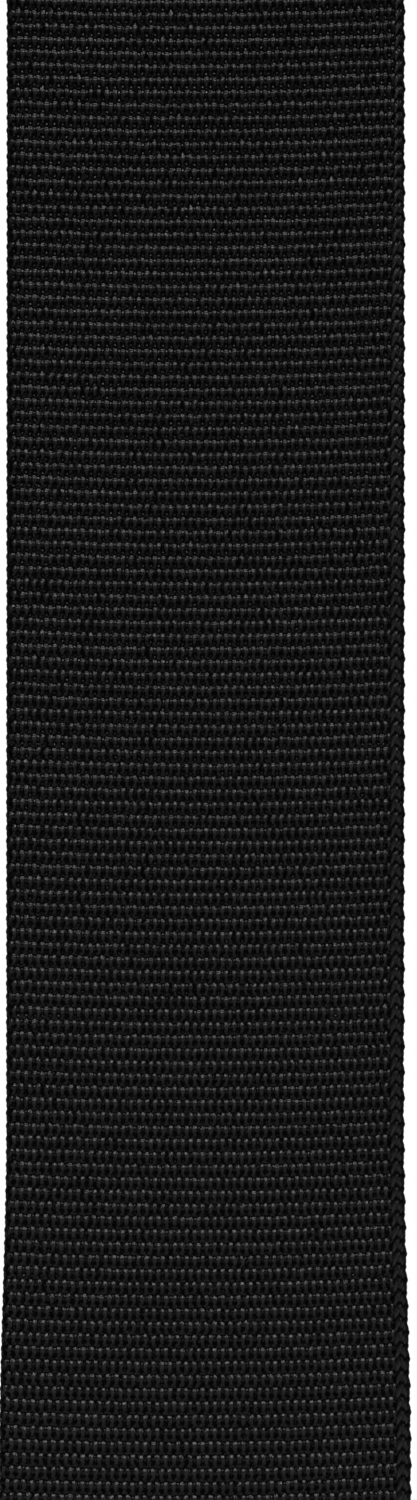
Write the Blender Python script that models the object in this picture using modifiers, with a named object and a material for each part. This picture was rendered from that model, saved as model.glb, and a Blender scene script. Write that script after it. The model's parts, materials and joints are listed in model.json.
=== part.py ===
"""Guitar strap: two inch woven webbing with a slide adjuster, a ring and two leather button tabs.

The strap hangs as it is worn. The webbing comes up from the front tab, passes over the shoulder and
goes down the back. There it turns under the ring's upper bar and comes back up, on the inner side, to
the slider's centre bar, where its end is wrapped round and sewn. A short loop of webbing joins the
ring's lower bar to the rear tab.

Frame: metres, +Z up, X across the webbing, the front leg on -Y and the back leg on +Y. The origin is
the middle of the arch's underside, where the strap lies on the shoulder. The strap is at its shortest
setting: the slider then moves down the back leg, and the ring goes down half as far.
"""
import math

import bmesh
import bpy
from mathutils import Matrix

# Webbing
WEBBING_WIDTH = 0.0508
WEBBING_THICKNESS = 0.0016
CLEARANCE = 0.0003

# Lie of the strap
SHOULDER_RADIUS = 0.090
FRONT_LEG_LENGTH = 0.255
SLIDER_DROP = 0.045
DOUBLED_LENGTH = 0.270
ARCH_STEPS = 36

# Slider
SLIDER_BAR_THICKNESS = 0.0024
SLIDER_BAR_HEIGHT = 0.0046
SLIDER_BAR_PITCH = 0.0140
SLIDER_RAIL_WIDTH = 0.0040
SLIDER_RAIL_DEPTH = 0.0032
SLIDER_SIDE_PLAY = 0.0008
SEWN_FLAP_LENGTH = 0.0260
FLAP_SLOPE_LENGTH = 0.0085

# Ring
RING_BAR_DIAMETER = 0.0044
RING_BAR_PITCH = 0.0180
RING_CORNER_RADIUS = 0.0036
RING_SIDE_PLAY = 0.0012
TURN_LEG_LENGTH = 0.0120
RETURN_EASE_LENGTH = 0.0600

# Leather tabs
TAB_LENGTH = 0.0950
TAB_OVERHANG = 0.0008
TAB_CORNER_RADIUS = 0.0040
TAB_TIP_RADIUS = 0.0200
TAB_STRAIGHT_LENGTH = 0.0440
LEATHER_THICKNESS = 0.0020
WEBBING_INSERT = 0.0400
LEATHER_RAMP_LENGTH = 0.0060
TAIL_NECK_LENGTH = 0.0140
BUTTON_HOLE_RADIUS = 0.0045
BUTTON_SLIT_LENGTH = 0.0110
BUTTON_SLIT_WIDTH = 0.0012

# Seams
THREAD_WIDTH = 0.0008
THREAD_THICKNESS = 0.0005
THREAD_SUNK = 0.0001
BOX_SEAM_INSET = 0.0050
EDGE_SEAM_INSET = 0.0036
SEAM_SPACING = 0.0030

# Places that follow from the sizes above
LEG_Y = SHOULDER_RADIUS + WEBBING_THICKNESS / 2
LAYER_STEP = WEBBING_THICKNESS + CLEARANCE
FRONT_TAB_TOP = -SHOULDER_RADIUS - FRONT_LEG_LENGTH
SLIDER_WRAP_RADIUS = SLIDER_BAR_THICKNESS / 2 + CLEARANCE + WEBBING_THICKNESS / 2
SLIDER_BAR_ROUND = (SLIDER_BAR_HEIGHT - SLIDER_BAR_THICKNESS) / 2
SLIDER_Y = LEG_Y - LAYER_STEP - SLIDER_WRAP_RADIUS
SLIDER_Z = -SHOULDER_RADIUS - SLIDER_DROP
SLIDER_LOOP_DROP = SLIDER_BAR_ROUND + FLAP_SLOPE_LENGTH + SEWN_FLAP_LENGTH
RING_WRAP_RADIUS = RING_BAR_DIAMETER / 2 + CLEARANCE + WEBBING_THICKNESS / 2
RING_Y = LEG_Y - RING_WRAP_RADIUS
RING_Z = SLIDER_Z - DOUBLED_LENGTH
TAIL_Z = RING_Z - RING_BAR_PITCH
GROOVE_DEPTH = THREAD_SUNK + THREAD_THICKNESS + CLEARANCE

# Turns that lay a flat outline, drawn across and up, into the strap's frame
FACING_Y = Matrix.Rotation(math.radians(90), 4, "X")
FACING_X = Matrix(((0, 0, 1, 0), (1, 0, 0, 0), (0, 1, 0, 0), (0, 0, 0, 1)))


# ---------------------------------------------------------------- scene, materials, pieces

def clear_scene():
    for item in list(bpy.data.objects):
        bpy.data.objects.remove(item, do_unlink=True)


def new_collection(name):
    collection = bpy.data.collections.new(name)
    bpy.context.scene.collection.children.link(collection)
    return collection


def finish_of(name, colour, roughness):
    """Principled material of one non-metal finish."""
    finish = bpy.data.materials.new(name)
    finish.use_nodes = True
    shader = finish.node_tree.nodes["Principled BSDF"]
    shader.inputs["Base Color"].default_value = (*colour, 1.0)
    shader.inputs["Roughness"].default_value = roughness
    shader.inputs["Metallic"].default_value = 0.0
    finish.diffuse_color = (*colour, 1.0)
    return finish


def pivot(name, location, parent=None):
    """Empty on a joint's axis, or at a piece's place, that the pieces there are parented to."""
    empty = bpy.data.objects.new(name, None)
    empty.empty_display_size = 0.02
    empty.location = location
    empty.parent = parent
    STRAP.objects.link(empty)
    return empty


def piece(name, mesh, finish, holder, location=(0, 0, 0)):
    """Object of one sub-part, placed in its holder's frame."""
    mesh.name = name
    mesh.materials.clear()
    mesh.materials.append(finish)
    mesh.shade_smooth()
    mesh.set_sharp_from_angle(angle=math.radians(35))
    item = bpy.data.objects.new(name, mesh)
    item.parent = holder
    item.location = location
    STRAP.objects.link(item)
    return item


def tool(name, mesh, holder, location=(0, 0, 0)):
    """Cutting or joining body, kept out of the model."""
    mesh.name = name
    item = bpy.data.objects.new(name, mesh)
    item.parent = holder
    item.location = location
    item.hide_render = True
    item.display_type = "WIRE"
    TOOLS.objects.link(item)
    return item


def boolean(item, other, operation):
    step = item.modifiers.new(operation.lower() + "_" + other.name, "BOOLEAN")
    step.operation = operation
    step.solver = "EXACT"
    step.object = other


# ---------------------------------------------------------------- outlines and bodies

def arc(centre, radius, start, end, steps):
    """Points of an arc, angles in degrees from the first axis towards the second."""
    points = []
    for index in range(steps + 1):
        angle = math.radians(start + (end - start) * index / steps)
        points.append((centre[0] + radius * math.cos(angle), centre[1] + radius * math.sin(angle)))
    return points


def mesh_of_curve(name, curve, turn):
    """Closed mesh of a curve object, with its caps welded to its sides."""
    drawn = bpy.data.objects.new(name, curve)
    bpy.context.scene.collection.objects.link(drawn)
    graph = bpy.context.evaluated_depsgraph_get()
    mesh = bpy.data.meshes.new_from_object(drawn.evaluated_get(graph))
    bpy.data.objects.remove(drawn, do_unlink=True)
    bpy.data.curves.remove(curve)
    work = bmesh.new()
    work.from_mesh(mesh)
    bmesh.ops.remove_doubles(work, verts=work.verts, dist=0.000001)
    bmesh.ops.transform(work, matrix=turn, verts=work.verts)
    bmesh.ops.recalc_face_normals(work, faces=work.faces)
    work.to_mesh(mesh)
    work.free()
    return mesh


def plate(name, outlines, thickness, turn):
    """Flat plate of a closed outline, with a hole for every further outline."""
    curve = bpy.data.curves.new(name, "CURVE")
    curve.dimensions = "2D"
    curve.fill_mode = "BOTH"
    curve.extrude = thickness / 2
    for outline in outlines:
        spline = curve.splines.new("POLY")
        spline.points.add(len(outline) - 1)
        for point, (across, up) in zip(spline.points, outline):
            point.co = (across, up, 0.0, 1.0)
        spline.use_cyclic_u = True
    return mesh_of_curve(name, curve, turn)


def band(name, route, finish, holder):
    """Length of webbing along a route in the YZ plane: an open strip given its thickness."""
    work = bmesh.new()
    line = [work.verts.new((-WEBBING_WIDTH / 2, along, up)) for along, up in route]
    edges = [work.edges.new(pair) for pair in zip(line[:-1], line[1:])]
    swept = bmesh.ops.extrude_edge_only(work, edges=edges)
    far_side = [part for part in swept["geom"] if isinstance(part, bmesh.types.BMVert)]
    bmesh.ops.translate(work, verts=far_side, vec=(WEBBING_WIDTH, 0, 0))
    bmesh.ops.recalc_face_normals(work, faces=work.faces)
    mesh = bpy.data.meshes.new(name)
    work.to_mesh(mesh)
    work.free()
    item = piece(name, mesh, finish, holder)
    wall = item.modifiers.new("thickness", "SOLIDIFY")
    wall.thickness = WEBBING_THICKNESS
    wall.offset = 0.0
    wall.use_even_offset = True
    return item


# ---------------------------------------------------------------- webbing

def make_main_webbing():
    """Front leg, arch over the shoulder and back leg, down to the turn at the ring."""
    front_end = FRONT_TAB_TOP - WEBBING_INSERT
    back_end = RING_Z + TURN_LEG_LENGTH + CLEARANCE
    route = [(-LEG_Y, front_end)]
    route += arc((0, -SHOULDER_RADIUS), LEG_Y, 180, 0, ARCH_STEPS)
    route += [(LEG_Y, back_end)]
    band("main_webbing", route, WOVEN, None)


def make_ring_turn_webbing(holder):
    """The webbing where it passes under the ring's upper bar."""
    route = [(RING_WRAP_RADIUS, TURN_LEG_LENGTH)]
    route += arc((0, 0), RING_WRAP_RADIUS, 0, -180, 12)
    route += [(-RING_WRAP_RADIUS, TURN_LEG_LENGTH)]
    band("ring_turn_webbing", route, WOVEN, holder)


def make_return_webbing(holder):
    """The doubled layer: it closes in on the main webbing above the ring and runs up to the slider."""
    low = TURN_LEG_LENGTH + CLEARANCE
    high = DOUBLED_LENGTH - SLIDER_LOOP_DROP - CLEARANCE
    beside_main = RING_WRAP_RADIUS - LAYER_STEP
    ease_steps = 8
    route = []
    for index in range(ease_steps + 1):
        share = index / ease_steps
        smooth = share * share * (3 - 2 * share)
        across = -RING_WRAP_RADIUS + (beside_main + RING_WRAP_RADIUS) * smooth
        route.append((across, low + RETURN_EASE_LENGTH * share))
    route.append((beside_main, high))
    band("return_webbing", route, WOVEN, holder)


def make_slider_loop_webbing(holder):
    """The webbing's end, wrapped over the slider's centre bar, its flap sewn to the layer in front."""
    flap = SLIDER_WRAP_RADIUS - LAYER_STEP
    route = [(SLIDER_WRAP_RADIUS, -SLIDER_LOOP_DROP)]
    route += arc((0, SLIDER_BAR_ROUND), SLIDER_WRAP_RADIUS, 0, 180, 12)
    route += [(-SLIDER_WRAP_RADIUS, -SLIDER_BAR_ROUND)]
    route += [(flap, -SLIDER_BAR_ROUND - FLAP_SLOPE_LENGTH)]
    route += [(flap, -SLIDER_LOOP_DROP + CLEARANCE)]
    loop = band("slider_loop_webbing", route, WOVEN, holder)
    seam = box_seam(-SLIDER_LOOP_DROP + SEAM_SPACING, -SLIDER_BAR_ROUND - FLAP_SLOPE_LENGTH - THREAD_WIDTH)
    sew("slider_loop_needle_thread", loop, seam, -flap + WEBBING_THICKNESS / 2, -1, holder)
    sew("slider_loop_bobbin_thread", loop, seam, SLIDER_WRAP_RADIUS + WEBBING_THICKNESS / 2, 1, holder)


def make_tail_webbing(holder):
    """Loop over the ring's lower bar, both its layers running down between the rear tab's plies."""
    leg = LAYER_STEP / 2
    low = -TAIL_NECK_LENGTH - WEBBING_INSERT
    joined = -TAIL_NECK_LENGTH + CLEARANCE
    route = [(leg, low), (leg, joined)]
    route += arc((0, 0), RING_WRAP_RADIUS, 0, 180, 12)
    route += [(-leg, joined), (-leg, low)]
    band("tail_webbing", route, WOVEN, holder)


# ---------------------------------------------------------------- seams

def box_seam(low, high):
    """Rectangular seam; the function gives its outer and inner outline at a half width."""
    side = WEBBING_WIDTH / 2 - BOX_SEAM_INSET

    def outlines(half):
        pair = []
        for grow in (half, -half):
            across = side + grow
            pair.append([(-across, low - grow), (across, low - grow), (across, high + grow), (-across, high + grow)])
        return pair

    return outlines


def edge_seam(high):
    """Seam that follows the tab's taper and round tip, closed by a straight run across its top."""
    centre, lean = tip_of_tab()

    def outlines(half):
        pair = []
        for grow in (half, -half):
            radius = TAB_TIP_RADIUS - EDGE_SEAM_INSET + grow
            top = high + grow
            across = (radius - (top - centre) * math.sin(lean)) / math.cos(lean)
            lean_degrees = math.degrees(lean)
            tip = arc((0, centre), radius, lean_degrees, -180 - lean_degrees, 24)
            pair.append([(across, top)] + tip + [(-across, top)])
        return pair

    return outlines


def sew(name, cloth, outlines, face, side, holder):
    """Thread of one seam, lying in a groove pressed into the face at side * face."""
    body = plate(name, outlines(THREAD_WIDTH / 2), THREAD_THICKNESS, FACING_Y)
    depth = THREAD_SUNK + THREAD_THICKNESS / 2
    piece(name, body, STITCHING, holder, (0, side * (face - depth), 0))
    cut = plate(name, outlines(THREAD_WIDTH / 2 + CLEARANCE), 2 * GROOVE_DEPTH, FACING_Y)
    groove = tool(name.replace("thread", "groove"), cut, holder, (0, side * face, 0))
    boolean(cloth, groove, "DIFFERENCE")


# ---------------------------------------------------------------- leather tabs

def tip_of_tab():
    """Centre height of the tab's round tip, and the angle at which the tapered side meets it."""
    centre = TAB_TIP_RADIUS - TAB_LENGTH
    across = WEBBING_WIDTH / 2 + TAB_OVERHANG
    up = -TAB_STRAIGHT_LENGTH - centre
    lean = math.atan2(up, across) - math.acos(TAB_TIP_RADIUS / math.hypot(across, up))
    return centre, lean


def tab_outline():
    """Tab from its straight top, down straight sides and a taper, to the round tip."""
    side = WEBBING_WIDTH / 2 + TAB_OVERHANG
    centre, lean = tip_of_tab()
    corner = side - TAB_CORNER_RADIUS
    lean_degrees = math.degrees(lean)
    outline = arc((-corner, -TAB_CORNER_RADIUS), TAB_CORNER_RADIUS, 180, 90, 6)
    outline += arc((corner, -TAB_CORNER_RADIUS), TAB_CORNER_RADIUS, 90, 0, 6)
    outline += [(side, -TAB_STRAIGHT_LENGTH)]
    outline += arc((0, centre), TAB_TIP_RADIUS, lean_degrees, -180 - lean_degrees, 28)
    outline += [(-side, -TAB_STRAIGHT_LENGTH)]
    return outline


def button_hole_outline():
    """Round hole with a slit from its upper side, which lets the strap button's head through."""
    centre, _ = tip_of_tab()
    half = BUTTON_SLIT_WIDTH / 2
    mouth = math.degrees(math.asin(half / BUTTON_HOLE_RADIUS))
    outline = arc((0, centre), BUTTON_HOLE_RADIUS, 90 + mouth, 450 - mouth, 28)
    slit_end = centre + BUTTON_HOLE_RADIUS + BUTTON_SLIT_LENGTH - half
    outline += arc((0, slit_end), half, 0, 180, 6)
    return outline


def make_ply(name, side, spread, holder):
    """Leather ply: it lies on the webbing above, and on the other ply below the webbing's end."""
    mesh = plate(name, [tab_outline(), button_hole_outline()], LEATHER_THICKNESS, FACING_Y)
    ramp_top = -WEBBING_INSERT - CLEARANCE
    ramp_low = ramp_top - LEATHER_RAMP_LENGTH
    apart = spread + LEATHER_THICKNESS / 2
    together = (CLEARANCE + LEATHER_THICKNESS) / 2
    work = bmesh.new()
    work.from_mesh(mesh)
    for height in (ramp_top, ramp_low):
        everything = work.verts[:] + work.edges[:] + work.faces[:]
        bmesh.ops.bisect_plane(work, geom=everything, plane_co=(0, 0, height), plane_no=(0, 0, 1))
    for vert in work.verts:
        share = (vert.co.z - ramp_low) / LEATHER_RAMP_LENGTH
        share = min(max(share, 0.0), 1.0)
        vert.co.y += side * (together + (apart - together) * share)
    work.to_mesh(mesh)
    work.free()
    return piece(name, mesh, LEATHER, holder)


def make_tab(prefix, spread, holder):
    """Two plies and their seams; the holder's +Y is the tab's outer side, spread is half the webbing's room."""
    ramp_low = -WEBBING_INSERT - CLEARANCE - LEATHER_RAMP_LENGTH
    box = box_seam(-WEBBING_INSERT + SEAM_SPACING, -SEAM_SPACING)
    edge = edge_seam(ramp_low - SEAM_SPACING)
    box_face = spread + LEATHER_THICKNESS
    edge_face = CLEARANCE / 2 + LEATHER_THICKNESS
    for ply_name, thread, side in (("face", "needle", 1), ("lining", "bobbin", -1)):
        ply = make_ply(prefix + "_tab_" + ply_name, side, spread, holder)
        sew(prefix + "_box_" + thread + "_thread", ply, box, box_face, side, holder)
        sew(prefix + "_edge_" + thread + "_thread", ply, edge, edge_face, side, holder)


# ---------------------------------------------------------------- slider and ring

def rounded_bar(thickness, height):
    """Section of a slider bar: flat faces front and back, round top and bottom."""
    radius = thickness / 2
    straight = (height - thickness) / 2
    return arc((0, straight), radius, 0, 180, 8) + arc((0, -straight), radius, 180, 360, 8)


def slider_rail_outline(bow, reach):
    """Side rail seen from the side: an even strip bowed back to the centre bar, with round ends."""
    radius = (bow * bow + SLIDER_BAR_PITCH * SLIDER_BAR_PITCH) / (2 * bow)
    half = SLIDER_RAIL_DEPTH / 2
    sweep = math.degrees(math.asin(reach / radius))
    centre = (radius, 0)
    ends = []
    for angle in (180 - sweep, 180 + sweep):
        turn = math.radians(angle)
        ends.append((radius + radius * math.cos(turn), radius * math.sin(turn)))
    outline = arc(centre, radius + half, 180 - sweep, 180 + sweep, 20)
    outline += arc(ends[1], half, 180 + sweep, 360 + sweep, 8)[1:-1]
    outline += arc(centre, radius - half, 180 + sweep, 180 - sweep, 20)
    outline += arc(ends[0], half, -sweep, 180 - sweep, 8)[1:-1]
    return outline


def make_slider(holder):
    """Three bars between two bowed rails: outer bars in front of the main webbing, centre bar behind it."""
    bow = SLIDER_WRAP_RADIUS + LAYER_STEP + WEBBING_THICKNESS / 2 + CLEARANCE + SLIDER_BAR_THICKNESS / 2
    rail_inner = WEBBING_WIDTH / 2 + SLIDER_SIDE_PLAY
    rail_middle = rail_inner + SLIDER_RAIL_WIDTH / 2
    section = rounded_bar(SLIDER_BAR_THICKNESS, SLIDER_BAR_HEIGHT)
    slider = piece("slider", plate("slider", [section], 2 * rail_middle, FACING_X), MOULDED, holder)
    rail = slider_rail_outline(bow, SLIDER_BAR_PITCH + SLIDER_BAR_HEIGHT / 4)
    for name, side in (("left", -1), ("right", 1)):
        body = plate(name, [rail], SLIDER_RAIL_WIDTH, FACING_X)
        boolean(slider, tool("slider_rail_" + name, body, holder, (side * rail_middle, 0, 0)), "UNION")
    for name, side in (("upper", 1), ("lower", -1)):
        body = plate(name, [section], 2 * rail_middle, FACING_X)
        place = (0, bow, side * SLIDER_BAR_PITCH)
        boolean(slider, tool("slider_bar_" + name, body, holder, place), "UNION")


def make_ring(holder):
    """Rectangular loop of round bar, its origin in the middle of the upper bar."""
    across = WEBBING_WIDTH / 2 + RING_SIDE_PLAY + RING_BAR_DIAMETER / 2
    corner = across - RING_CORNER_RADIUS
    upper = -RING_CORNER_RADIUS
    lower = RING_CORNER_RADIUS - RING_BAR_PITCH
    path = arc((corner, upper), RING_CORNER_RADIUS, 90, 0, 5)
    path += arc((corner, lower), RING_CORNER_RADIUS, 0, -90, 5)
    path += arc((-corner, lower), RING_CORNER_RADIUS, -90, -180, 5)
    path += arc((-corner, upper), RING_CORNER_RADIUS, 180, 90, 5)
    curve = bpy.data.curves.new("ring", "CURVE")
    curve.dimensions = "3D"
    curve.bevel_depth = RING_BAR_DIAMETER / 2
    curve.bevel_resolution = 6
    spline = curve.splines.new("POLY")
    spline.points.add(len(path) - 1)
    for point, (along, up) in zip(spline.points, path):
        point.co = (along, 0.0, up, 1.0)
    spline.use_cyclic_u = True
    piece("ring", mesh_of_curve("ring", curve, Matrix.Identity(4)), MOULDED, holder)


# ---------------------------------------------------------------- the strap

clear_scene()
STRAP = new_collection("guitar_strap")
TOOLS = new_collection("guitar_strap_tools")
WOVEN = finish_of("woven_webbing", (0.012, 0.012, 0.013), 0.60)
LEATHER = finish_of("black_leather", (0.018, 0.016, 0.015), 0.50)
MOULDED = finish_of("moulded_black", (0.014, 0.014, 0.015), 0.35)
STITCHING = finish_of("black_thread", (0.020, 0.020, 0.021), 0.55)

make_main_webbing()

front_tab_place = pivot("front_tab_place", (0, -LEG_Y, FRONT_TAB_TOP))
front_tab_place.rotation_euler = (0, 0, math.radians(180))
make_tab("front", WEBBING_THICKNESS / 2 + CLEARANCE, front_tab_place)

adjust_slide = pivot("adjust_slide_axis", (0, SLIDER_Y, SLIDER_Z))
make_slider(adjust_slide)
make_slider_loop_webbing(adjust_slide)

ring_turn = pivot("ring_turn_axis", (0, RING_Y, RING_Z))
make_ring_turn_webbing(ring_turn)
make_return_webbing(ring_turn)

ring_pivot = pivot("ring_pivot_axis", (0, RING_Y, RING_Z))
make_ring(ring_pivot)

tail_pivot = pivot("tail_pivot_axis", (0, 0, TAIL_Z - RING_Z), ring_pivot)
make_tail_webbing(tail_pivot)
rear_tab_place = pivot("rear_tab_place", (0, 0, -TAIL_NECK_LENGTH), tail_pivot)
make_tab("rear", WEBBING_THICKNESS + 1.5 * CLEARANCE, rear_tab_place)
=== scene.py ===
"""Looks of the guitar strap: ribbed black webbing, leather tabs, moulded slider and ring, and their stitches.

The webbing is one long band. Its route is followed from the front tab, over the shoulder, round the
ring and up to the slider, and the weave runs on along it from piece to piece.
"""
import json
import math

import bmesh
import bpy
import numpy as np
from mathutils import Matrix, Vector


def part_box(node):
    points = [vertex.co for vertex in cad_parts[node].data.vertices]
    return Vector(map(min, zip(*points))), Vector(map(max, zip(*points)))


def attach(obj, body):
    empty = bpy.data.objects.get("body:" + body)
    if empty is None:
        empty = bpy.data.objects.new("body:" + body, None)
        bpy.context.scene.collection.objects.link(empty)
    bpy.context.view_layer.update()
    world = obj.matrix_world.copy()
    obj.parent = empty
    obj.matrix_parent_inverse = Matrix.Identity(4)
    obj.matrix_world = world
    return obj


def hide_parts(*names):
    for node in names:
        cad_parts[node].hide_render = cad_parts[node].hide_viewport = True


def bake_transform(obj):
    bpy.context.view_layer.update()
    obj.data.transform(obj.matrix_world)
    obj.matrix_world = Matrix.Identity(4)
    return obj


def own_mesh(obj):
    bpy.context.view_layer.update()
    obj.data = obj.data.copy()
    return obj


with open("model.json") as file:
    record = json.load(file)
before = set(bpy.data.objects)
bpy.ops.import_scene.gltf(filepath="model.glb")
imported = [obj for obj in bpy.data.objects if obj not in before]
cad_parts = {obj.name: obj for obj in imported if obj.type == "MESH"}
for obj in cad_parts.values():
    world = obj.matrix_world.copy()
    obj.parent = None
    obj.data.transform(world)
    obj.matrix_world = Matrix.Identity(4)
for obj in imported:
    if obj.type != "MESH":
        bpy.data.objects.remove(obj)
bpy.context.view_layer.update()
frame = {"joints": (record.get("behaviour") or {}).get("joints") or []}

# -------------------- sizes, read from the frame

JOINTS = {joint["name"]: joint for joint in frame["joints"]}
MAIN_LOW, MAIN_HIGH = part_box("main_webbing")
TURN_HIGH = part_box("ring_turn_webbing")[1]
RETURN_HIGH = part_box("return_webbing")[1]
LOOP_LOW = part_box("slider_loop_webbing")[0]
SLIDER_LOW, SLIDER_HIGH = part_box("slider")
FRONT_TAB_LOW, FRONT_TAB_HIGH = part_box("front_tab_face")
REAR_TAB_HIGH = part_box("rear_tab_face")[1]

# Webbing
WIDTH = MAIN_HIGH[0] - MAIN_LOW[0]
THICKNESS = MAIN_HIGH[2]
LEG_Y = MAIN_HIGH[1] - THICKNESS / 2
SHOULDER_RADIUS = LEG_Y - THICKNESS / 2
CLEARANCE = 0.0003
LAYER_STEP = THICKNESS + CLEARANCE

# Slider
SLIDER_BAR_THICKNESS = 0.0024
SLIDER_BAR_HEIGHT = 0.0046
SLIDER_RAIL_WIDTH = 0.0040
SLIDER_RAIL_DEPTH = 0.0032
SLIDER_BAR_PITCH = 0.0140
SLIDER_BAR_ROUND = (SLIDER_BAR_HEIGHT - SLIDER_BAR_THICKNESS) / 2
SLIDER_WRAP_RADIUS = SLIDER_BAR_THICKNESS / 2 + CLEARANCE + THICKNESS / 2
SLIDER_Y = LEG_Y - LAYER_STEP - SLIDER_WRAP_RADIUS
SLIDER_Z = (SLIDER_LOW[2] + SLIDER_HIGH[2]) / 2
FLAP_SLOPE_LENGTH = 0.0085
MOULDING_GRAIN = 0.00036
MOULDING_ROUNDS = 5

# Ring
RING_Y, RING_Z = JOINTS["ring_pivot"]["pos_m"][1:]
TAIL_Z = JOINTS["tail_pivot"]["pos_m"][2]
RING_WRAP_RADIUS = LEG_Y - RING_Y
RING_BAR_DIAMETER = 2 * (RING_WRAP_RADIUS - CLEARANCE - THICKNESS / 2)
RING_SIDE_PLAY = 0.0012
RING_CORNER_RADIUS = 0.0036
RETURN_EASE_LENGTH = 0.0600
TURN_TOP = TURN_HIGH[2] + CLEARANCE / 2
RETURN_TOP = RETURN_HIGH[2] + CLEARANCE / 2

# Leather tabs
FRONT_TAB_TOP = FRONT_TAB_HIGH[2]
REAR_TAB_TOP = REAR_TAB_HIGH[2]
TAB_LENGTH = FRONT_TAB_HIGH[2] - FRONT_TAB_LOW[2]
TAB_SIDE = FRONT_TAB_HIGH[0]
TAB_CORNER_RADIUS = 0.0040
TAB_TIP_RADIUS = 0.0200
TAB_STRAIGHT_LENGTH = 0.0440
LEATHER_THICKNESS = 0.0020
LEATHER_EDGE_ROUND = 0.00045
LEATHER_RAMP_LENGTH = 0.0060
LEATHER_GRID = 0.00085
LEATHER_FLAT_GRID = 0.0015
LEATHER_WEAR_WIDTH = 0.0008
LEATHER_WAVE = 0.00007
WEBBING_INSERT = 0.0400
BAND_FOOT_Z = FRONT_TAB_TOP - WEBBING_INSERT
BUTTON_HOLE_RADIUS = 0.0045
BUTTON_SLIT_LENGTH = 0.0110
BUTTON_SLIT_WIDTH = 0.0012

# Seams
STITCH_LENGTH = 0.0030
THREAD_THICKNESS = 0.00082
THREAD_SUNK = 0.00014
BOX_SEAM_INSET = 0.0050
EDGE_SEAM_INSET = 0.0036
SEAM_SPACING = 0.0030
GROOVE_DEPTH = 0.00042
GROOVE_HALF_WIDTH = 0.00075
GROOVE_CUTS = (-1.1, -0.7, -0.35, 0, 0.35, 0.7, 1.1)

# Weave
ROW_PITCH = 0.001653
YARN_PITCH = 0.000508
YARNS = round(WIDTH / YARN_PITCH)
WEFT_BOW = 0.00056
WARP_LEAN = 0.016
SELVEDGE_ROLL = 0.00042
SELVEDGE_DROP = 0.00030
SELVEDGE_INSET = 0.00035
SELVEDGE_WIDTH_SHARE = 0.030
TIGHT_SHARE = 0.9965
SCALLOP = 0.00008
SCALLOP_RIPPLE = 0.00005
LEFT_SCALLOP = 0.00007
GRIP = 0.00009
# Level by which the rolled selvedges are raised in the weave's painted shade, so they are painted less dark
EDGE_SHADE_RAISE = 0.00004

# Front leg: looser just above the tab, and slightly turned about its length
LOOSE_SHARE = 0.036
LOOSE_BEFORE = 0.020
LOOSE_RISE = 0.015
LOOSE_AFTER = 0.048
LOOSE_FALL = 0.044
TURNED_DEGREES = 2.2
TURNED_TOP_Z = -0.085
TURNED_RISE = 0.02
TURNED_FALL = 0.03

# Floor, below the strap's longest setting
FLOOR_SIZE = 2.4
FLOOR_Z = -0.76

# Camera, level with the middle of the front leg
VIEW_DISTANCE = 0.60
VIEW_HEIGHT = 0.1915
VIEW_Z = -0.220


# -------------------- routes

def arc(centre, radius, start, end, steps):
    """Points of an arc, angles in degrees from the first axis towards the second."""
    angles = np.radians(np.linspace(start, end, steps + 1))
    return [(centre[0] + radius * math.cos(a), centre[1] + radius * math.sin(a)) for a in angles]


def eased(share):
    """Share from 0 to 1 that starts and ends gently."""
    share = np.clip(share, 0, 1)
    return share * share * (3 - 2 * share)


def main_route():
    """Centre line of the long band in the (y, z) plane, and the points at which its later lengths begin."""
    marks = {}
    route = [(-LEG_Y, BAND_FOOT_Z)]
    route += arc((0, -SHOULDER_RADIUS), LEG_Y, 180, 0, 240)
    route += [(LEG_Y, TURN_TOP)]
    marks["turn"] = len(route) - 1
    route += arc((RING_Y, RING_Z), RING_WRAP_RADIUS, 0, -180, 48)
    beyond_ring = RING_Y - RING_WRAP_RADIUS
    route += [(beyond_ring, TURN_TOP)]
    marks["return"] = len(route) - 1
    beside_main = LEG_Y - LAYER_STEP
    for share in np.linspace(0, 1, 41)[1:]:
        across = beyond_ring + (beside_main - beyond_ring) * eased(share)
        route.append((across, TURN_TOP + RETURN_EASE_LENGTH * share))
    route += [(beside_main, RETURN_TOP)]
    marks["loop"] = len(route) - 1
    route += arc((SLIDER_Y, SLIDER_Z + SLIDER_BAR_ROUND), SLIDER_WRAP_RADIUS, 0, 180, 48)
    flap = beside_main - LAYER_STEP
    route += [(SLIDER_Y - SLIDER_WRAP_RADIUS, SLIDER_Z - SLIDER_BAR_ROUND)]
    route += [(flap, SLIDER_Z - SLIDER_BAR_ROUND - FLAP_SLOPE_LENGTH)]
    route += [(flap, LOOP_LOW[2] + 2 * CLEARANCE)]
    return route, marks


def tail_route():
    """Centre line of the short loop over the ring's lower bar, its two ends between the rear tab's plies."""
    leg = LAYER_STEP / 2
    low = REAR_TAB_TOP - WEBBING_INSERT
    joined = REAR_TAB_TOP + CLEARANCE
    route = [(RING_Y + leg, low), (RING_Y + leg, joined)]
    route += arc((RING_Y, TAIL_Z), RING_WRAP_RADIUS, 0, 180, 48)
    route += [(RING_Y - leg, joined), (RING_Y - leg, low)]
    return route


def widening(at):
    """Share by which the long band lies wider and looser just above the front tab than elsewhere."""
    low = VIEW_Z - VIEW_HEIGHT / 2 - BAND_FOOT_Z
    return eased((at - low + LOOSE_BEFORE) / LOOSE_RISE) * eased((low + LOOSE_AFTER - at) / LOOSE_FALL)


def turning(at):
    """Angle by which the front leg is turned about its own length, so one edge comes forward."""
    share = np.clip((at - (VIEW_Z - BAND_FOOT_Z)) / (VIEW_HEIGHT / 2), -1.2, 1.2)
    fade_out = np.clip((TURNED_TOP_Z - BAND_FOOT_Z - at) / TURNED_FALL, 0, 1)
    fade = fade_out * np.clip((at - WEBBING_INSERT) / TURNED_RISE, 0, 1)
    return math.radians(TURNED_DEGREES) * np.sin(share * math.pi / 2) * fade


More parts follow.
